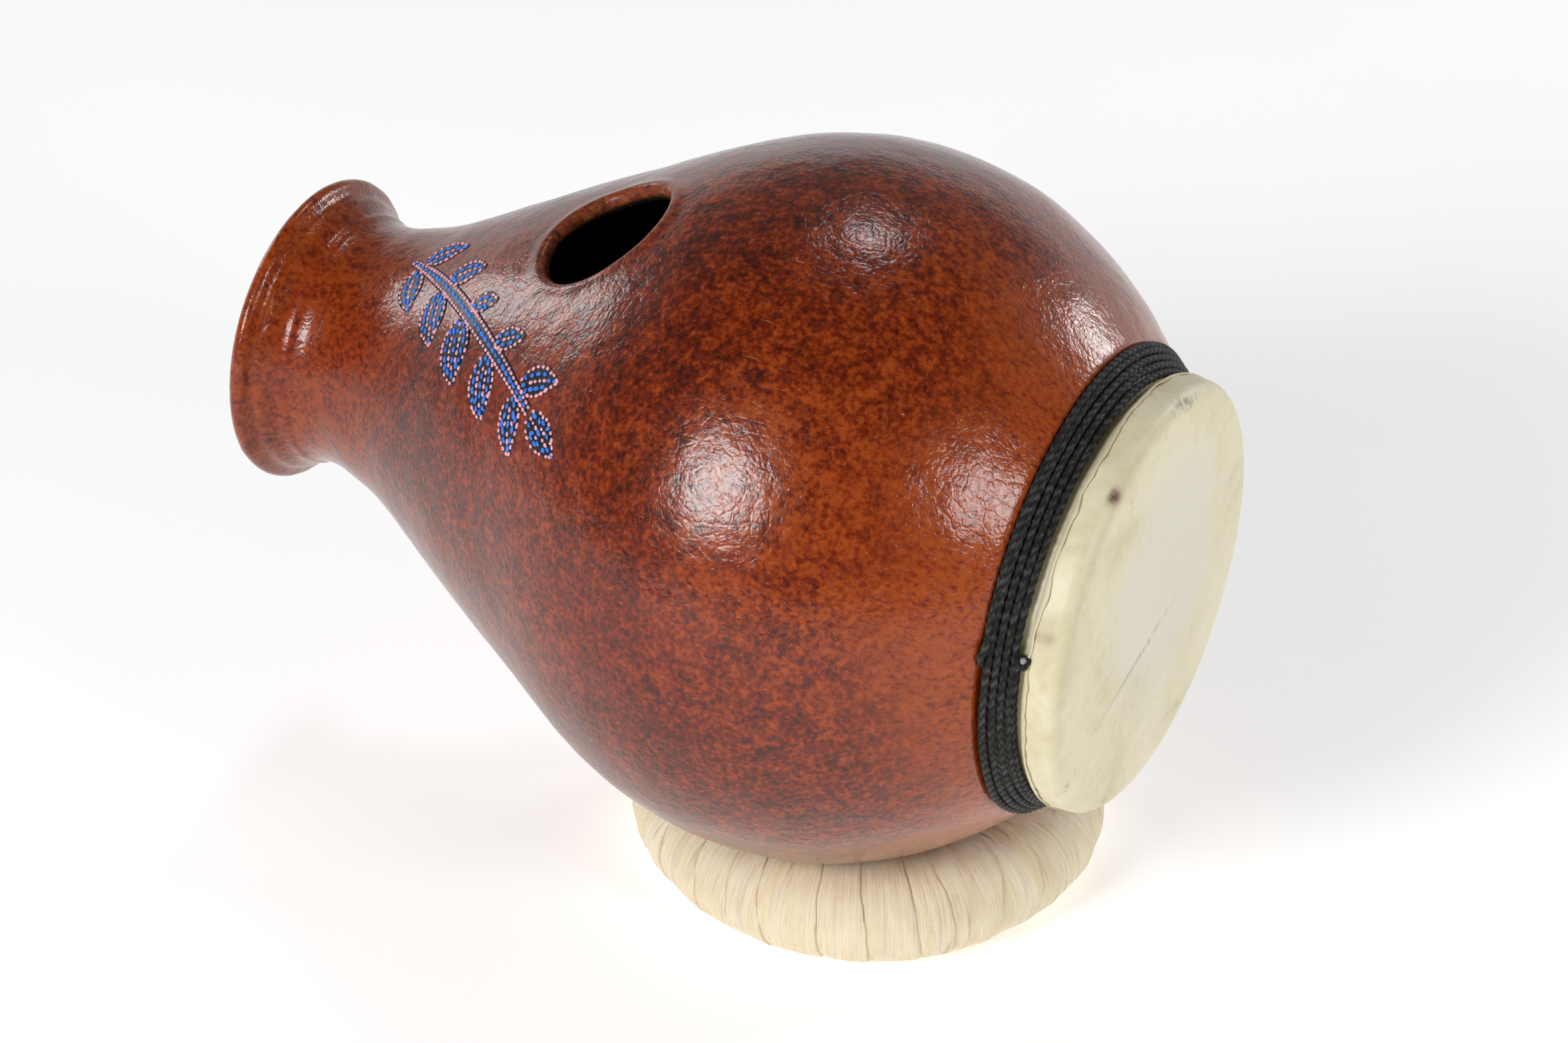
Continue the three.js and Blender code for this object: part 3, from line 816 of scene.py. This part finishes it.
def husk_strip(i):
    across, around = 56, 96
    lap = 0.02
    u = np.linspace(0, 1, across)[:, None]
    v = (np.arange(around) * TAU / around - TAU / 4)[None]
    pick = [noise.noise(Vector((i * 2.3 + 0.7, k * 3.1, 9.5))) for k in range(6)]
    first = strip_edge(i, v) - lap
    last = strip_edge(i + 1, v) + (TAU if i + 1 == HUSK_STRIPS else 0) + lap
    angle = first + u * (last - first)
    whole = np.stack(np.broadcast_arrays(np.cos(angle), np.sin(angle), np.sin(v) * 0.3 + 0 * u), -1)
    ribs = field(whole + (0, 0, i * 0.7), 0.016, 53, 2)
    lift = 0.55 * field(whole, 0.34, 55, 2) + 0.13 * ribs
    layers = 0 * angle
    for k, place in enumerate((0.28 + 0.2 * pick[0], 0.66 + 0.2 * pick[1])):
        wander = place + 0.12 * field(np.stack(np.broadcast_arrays(np.cos(v), np.sin(v), 0 * v + i + k * 9), -1), 0.9, 56, 2)
        layers = layers + 0.13 * np.tanh((u - wander) / 0.02)
    fold_place = np.stack(np.broadcast_arrays(angle * 16, np.cos(v) * 0.8 + i * 2.3, np.sin(v) * 0.8), -1)
    folds = np.abs(field(fold_place, 1, 54, 2))
    lift = lift - 0.15 + 0.1 * u + layers + (0.35 + 0.5 * abs(pick[2])) * folds + 0.12 * pick[3]
    lift = lift - 0.1 * np.clip(1 - (1 - u) / 0.04, 0, 1)
    outside = clear_of_pot(tube_point(angle, v + 0 * u, lift), 0.35)
    inside = clear_of_pot(tube_point(angle, v + 0 * u, lift - 0.9), 1.1)
    outside[..., 2] = np.maximum(outside[..., 2], 0.0)
    inside[..., 2] = np.maximum(inside[..., 2], 0.7)
    grid = np.concatenate([outside, inside[::-1]])
    faces = grid_faces(2 * across, around, True, True)
    uv_one = np.stack(np.broadcast_arrays(angle * 0.09 + i * 0.013, v * 0.021), -1)
    uv = np.concatenate([uv_one, uv_one[::-1]]).reshape(-1, 2)
    edge_one = np.clip(1 - (1 - u) / 0.05, 0, 1) + 0.5 * np.clip(1 - u / 0.05, 0, 1) + 0 * v
    edge = np.concatenate([edge_one, edge_one[::-1]])
    tint = np.full(edge.size, np.clip(0.4 + 1.1 * pick[4], 0, 1))
    name = f"husk_strip_{i + 1:02d}"
    return piece(
        f"husk_wrap_{i + 1:02d}", grid.reshape(-1, 3), faces, STAND, husk_look, "ring", (name,),
        attributes={"edge": edge, "tint": tint}, uv=uv,
    )


def straw_bundle():
    steps, sides = 220, 40
    angle = (np.arange(steps) * TAU / steps)[:, None]
    turn = (np.arange(sides) * TAU / sides)[None]
    stalk = 0.5 * np.cos(14 * (turn + 5 * angle))
    grid = tube_point(angle + 0 * turn, turn + 0 * angle, -4.2 + stalk)
    grid = clear_of_pot(grid, 4.2)
    grid[..., 2] = np.maximum(grid[..., 2], 2.4)
    faces = grid_faces(steps, sides, True, True)
    return piece(
        "straw_bundle", grid.reshape(-1, 3), faces, STAND, straw_material(), "ring", ("straw_core",)
    )


# ---------------------------------------------------------------- the painted sprig

def surface_curve(points, step):
    """A smooth line on the pot's outside through (x, angle in degrees), as (length along the belly line, angle)."""
    line = []
    for x, angle in points:
        line.append((np.interp(x, belly_rows[:, 0], belly_length), math.radians(angle)))
    radius = 90
    flat = catmull([(a, b * radius) for a, b in line], step)
    return np.stack([flat[:, 0], flat[:, 1] / radius], 1)


def offset_on_pot(line, sideways):
    """The line on the pot moved sideways by millimetres, to its left going along it."""
    x_radius = np.interp(line[:, 0], belly_length, belly_rows[:, 1])
    flat = np.stack([line[:, 0], line[:, 1] * x_radius.mean()], 1)
    along = np.gradient(flat, axis=0)
    along /= np.linalg.norm(along, axis=1)[:, None]
    moved_length = line[:, 0] - along[:, 1] * sideways
    moved_angle = line[:, 1] + along[:, 0] * sideways / x_radius
    return np.stack([moved_length, moved_angle], 1)


STEM = [(-180, 16), (-160, 26), (-140, 35), (-120, 43), (-100, 50), (-82, 56)]
STEM_WIDTHS = [1.4, 2.6, 3.2, 3.2, 2.8, 2.0]  # half the width along the stem
LEAF_SPREAD = math.radians(60)  # from the stem
LEAF_PAIRS = [(0.06, 24, 24), (0.27, 29, 23), (0.48, 32, 18), (0.69, 30, 20), (0.90, 26, 25)]  # place, lengths
END_LEAF = 27
DOT_ROWS = 2.35  # between rows of dots
DOTS = {"pink": (1.5, 1.3, 2.6), "blue": (1.9, 1.55, 3.7)}  # width, length over width, and step along a row


def leaf_line(stem, share, spread, length):
    """A line curving out from the stem, as (length along the belly line, angle)."""
    root = min(int(share * (len(stem) - 1)), len(stem) - 2)
    along, turn = stem[root + 1] - stem[root]
    ahead = math.atan2(turn * np.interp(stem[root, 0], belly_length, belly_rows[:, 1]), along)
    steps = np.linspace(0, 1, 24)
    heading = ahead + spread * (1 - 0.5 * steps)
    flat = np.cumsum(np.stack([np.cos(heading), np.sin(heading)], 1), axis=0) * length / len(steps)
    lengths = stem[root, 0] + flat[:, 0]
    return np.stack([lengths, stem[root, 1] + flat[:, 1] / np.interp(lengths, belly_length, belly_rows[:, 1])], 1)[2:]


def painted_patch(line, half_widths, height):
    """A thin patch of paint along a line on the pot. Gives its points and faces."""
    shares = np.linspace(-1, 1, 11)
    rows = []
    for share in shares:
        moved = offset_on_pot(line, share * half_widths)
        rows.append(wall_point(moved[:, 0], moved[:, 1], height - 0.12 * abs(share) ** 4))
    top = np.array(rows)
    rows = []
    for share in shares[::-1]:
        moved = offset_on_pot(line, share * half_widths)
        rows.append(wall_point(moved[:, 0], moved[:, 1], -0.35))
    grid = np.concatenate([top, np.array(rows)])
    count = len(line)
    faces = grid_faces(2 * len(shares), count, True, False)
    for end in (0, count - 1):
        faces.append([r * count + end for r in range(2 * len(shares))])
    return grid.reshape(-1, 3), faces


def paint_dots(line, half_widths, dots, seed):
    """Rows of dots side by side along a line on the pot, pink outermost, added to dots by colour."""
    rng = np.random.default_rng(seed)
    inner = half_widths - 0.7
    rows = np.maximum(1, np.round(inner / DOT_ROWS))
    radius = np.interp(line[:, 0], belly_length, belly_rows[:, 1])
    most = int(rows.max())
    for row in range(-most, most + 1):
        moved = offset_on_pot(line, np.clip(row / rows, -1, 1) * inner)
        apart = np.diff(moved, axis=0) * np.stack([np.ones(len(line) - 1), radius[1:]], 1)
        length = np.r_[0, np.cumsum(np.linalg.norm(apart, axis=1))]
        place = rng.uniform(0.5, 2)
        while place < length[-1] - 0.6:
            here = int(np.argmin(np.abs(length - place)))
            ring = int(rows[here]) - abs(row)
            width, stretch, step = DOTS["blue" if ring % 2 else "pink"]
            if ring >= 0 and inner[here] > 0.5:
                spot = [np.interp(place + d, length, moved[:, k]) for d in (0, 0.6) for k in (0, 1)]
                spot[0] += rng.normal(0, 0.08)
                colour = "blue" if ring % 2 else "pink"
                dots[colour].append((spot, width * rng.uniform(0.82, 1.12), stretch * rng.uniform(0.85, 1.25)))
            place += step * rng.uniform(0.9, 1.15)


def dome(spot, size, stretch, height=0.42):
    """One raised dot of paint, an oval dome."""
    length, angle, ahead_length, ahead_angle = spot
    radius = np.interp(length, belly_length, belly_rows[:, 1])
    along = np.array([ahead_length - length, (ahead_angle - angle) * radius])
    along /= max(np.linalg.norm(along), 1e-9)
    across = np.array([-along[1], along[0]])
    turn = np.arange(10) * TAU / 10
    rings = [(1.0, -0.1), (0.86, 0.28), (0.5, 0.42)]
    places, heights = [], []
    for share, lift in rings:
        for t in turn:
            flat = (along * math.cos(t) * size * stretch + across * math.sin(t) * size) * share / 2
            places.append((length + flat[0], angle + flat[1] / radius))
            heights.append(lift / 0.42 * height)
    places.append((length, angle))
    heights.append(height * 1.08)
    return places, heights


def painted_sprig():
    black, pink, blue = (
        paint_material("black_paint", rgb(10, 11, 13), rgb(22, 25, 27)),
        paint_material("pink_paint", rgb(228, 152, 166), rgb(244, 182, 192)),
        paint_material("blue_paint", rgb(34, 100, 205), rgb(60, 132, 232)),
    )
    dots = {"pink": [], "blue": []}
    points, faces, count = [], [], 0
    shapes = []
    stem = surface_curve(STEM, 1.6)
    widths = np.interp(np.linspace(0, 1, len(stem)), np.linspace(0, 1, len(STEM_WIDTHS)), STEM_WIDTHS)
    shapes.append((stem, widths, 0.20))
    leaves = [(share, side * LEAF_SPREAD, length) for share, *pair in LEAF_PAIRS for side, length in zip((1, -1), pair)]
    leaves.append((1, 0, END_LEAF))
    for k, (share, spread, length) in enumerate(leaves):
        curve = leaf_line(stem, share, spread, length)
        t = np.linspace(0, 1, len(curve))
        leaf = 0.27 * length * np.sin(np.pi * (0.06 + 0.94 * t)) ** 0.7 * (1.1 - 0.35 * t)
        shapes.append((curve, np.maximum(leaf, 0.8), 0.14 - 0.007 * k))
    for number, (line, half, height) in enumerate(shapes):
        p, f = painted_patch(line, half + 0.5, height)
        points.append(p)
        faces += [[v + count for v in face] for face in f]
        count += len(p)
        paint_dots(line, half, dots, number)
    piece("painted_sprig", np.vstack(points), faces, DRUM, black, "drum")
    for colour, look in (("pink", pink), ("blue", blue)):
        lengths, angles, heights, dot_faces = [], [], [], []
        for spot, size, stretch in dots[colour]:
            start = len(lengths)
            places, lifts = dome(spot, size, stretch)
            lengths += [p[0] for p in places]
            angles += [p[1] for p in places]
            heights += lifts
            for ring in range(2):
                for j in range(10):
                    a, b = start + ring * 10 + j, start + ring * 10 + (j + 1) % 10
                    dot_faces.append([a, b, b + 10, a + 10])
            for j in range(10):
                dot_faces.append([start + 20 + j, start + 20 + (j + 1) % 10, start + 30])
            dot_faces.append([start + j for j in range(10)][::-1])
        heights = np.array(heights) + 0.16
        where = wall_point(np.array(lengths), np.array(angles), heights)
        piece(f"painted_{colour}_dots", where, dot_faces, DRUM, look, "drum")


# ---------------------------------------------------------------- the studio

def floor():
    mesh = bpy.data.meshes.new("studio_floor")
    mesh.from_pydata([(-8, -8, 0), (8, -8, 0), (8, 8, 0), (-8, 8, 0)], [], [(0, 1, 2, 3)])
    made = bpy.data.objects.new("studio_floor", mesh)
    made.location.z = -0.0004
    n = Nodes("pale_floor")
    n.set(Base_Color=n.ramp(n.noise(n.here(), 3, 2), (0.3, rgb(246, 246, 245)), (0.7, rgb(249, 249, 248))))
    n.shader.inputs["Roughness"].default_value = 0.9
    n.shader.inputs["Emission Color"].default_value = (1, 1, 1, 1)
    n.shader.inputs["Emission Strength"].default_value = 0.38
    mesh.materials.append(n.material)
    bpy.context.scene.collection.objects.link(made)


def softbox(name, azimuth, elevation, distance, size, power, colour=(1, 1, 1)):
    """A round light aimed at the belly. Azimuth 0 is on the -Y side and 90 on the +X side."""
    a, e = math.radians(azimuth), math.radians(elevation)
    direction = Vector((math.sin(a) * math.cos(e), -math.cos(a) * math.cos(e), math.sin(e)))
    data = bpy.data.lights.new(name, "AREA")
    data.shape = "DISK"
    data.size = size
    data.energy = power
    data.color = colour
    made = bpy.data.objects.new(name, data)
    made.location = BELLY + direction * distance
    made.rotation_mode = "QUATERNION"
    made.rotation_quaternion = direction.to_track_quat("Z", "Y")
    bpy.context.scene.collection.objects.link(made)


def studio():
    floor()
    softbox("key_light", -15, 28, 2.4, 0.80, 30)
    softbox("key_glow", -15, 28, 2.45, 1.3, 12)
    softbox("right_light", 77, 24, 2.4, 0.68, 18)
    softbox("left_light", -101, 16, 2.4, 0.6, 6)
    softbox("top_light", -166, 61, 2.4, 0.42, 7, (0.92, 0.95, 1))
    softbox("back_light", 149, 17, 2.4, 0.55, 13)
    world = bpy.data.worlds.new("studio_world")
    bpy.context.scene.world = world
    world.use_nodes = True
    nodes, links = world.node_tree.nodes, world.node_tree.links
    where = nodes.new("ShaderNodeTexCoord")
    ahead = nodes.new("ShaderNodeVectorMath")
    ahead.operation = "DOT_PRODUCT"
    ahead.inputs[1].default_value = (-0.478, 0.878, 0)  # away from the camera
    behind = nodes.new("ShaderNodeMapRange")
    behind.interpolation_type = "SMOOTHSTEP"
    for key, value in (("From Min", 0.0), ("From Max", 0.9), ("To Min", 0.05), ("To Max", 0.9)):
        behind.inputs[key].default_value = value
    links.new(where.outputs["Generated"], ahead.inputs[0])
    links.new(ahead.outputs["Value"], behind.inputs["Value"])
    parts = nodes.new("ShaderNodeSeparateXYZ")
    low = nodes.new("ShaderNodeMapRange")
    low.interpolation_type = "SMOOTHSTEP"
    for key, value in (("From Min", 0.05), ("From Max", 0.4), ("To Min", 1.0), ("To Max", 0.18)):
        low.inputs[key].default_value = value
    both = nodes.new("ShaderNodeMath")
    both.operation = "MULTIPLY"
    links.new(where.outputs["Generated"], parts.inputs[0])
    links.new(parts.outputs["Z"], low.inputs["Value"])
    links.new(behind.outputs["Result"], both.inputs[0])
    links.new(low.outputs["Result"], both.inputs[1])
    links.new(both.outputs[0], nodes["Background"].inputs["Strength"])
    nodes["Background"].inputs["Color"].default_value = (1, 1, 1, 1)


def camera():
    """The camera where the drum is seen from: 28.6 degrees round from the front and 33.2 degrees up."""
    azimuth, elevation = math.radians(28.56), math.radians(33.15)
    right = Vector((math.cos(azimuth), math.sin(azimuth), 0))
    back = Vector((
        math.sin(azimuth) * math.cos(elevation), -math.cos(azimuth) * math.cos(elevation), math.sin(elevation)
    ))
    up = back.cross(right)
    data = bpy.data.cameras.new("camera")
    data.lens = 110.07
    data.sensor_width = 36
    data.clip_start, data.clip_end = 0.05, 50
    made = bpy.data.objects.new("camera", data)
    made.location = BELLY - right * 0.02121 - up * 0.00893 + back * 1.83147
    made.rotation_mode = "QUATERNION"
    made.rotation_quaternion = Matrix((right, up, back)).transposed().to_quaternion()
    bpy.context.scene.collection.objects.link(made)
    bpy.context.scene.camera = made
    bpy.context.scene.view_settings.view_transform = "Standard"


skin_look = skin_material()
braid_look = cord_material()
melted_look = paint_material("melted_end", rgb(30, 30, 32), rgb(176, 176, 178))
husk_look = husk_material()

camera()
studio()
pot_shell()
goatskin()
skin_edge()
binding_cord()
cord_knot()
straw_bundle()
for number in range(HUSK_STRIPS):
    husk_strip(number)
painted_sprig()
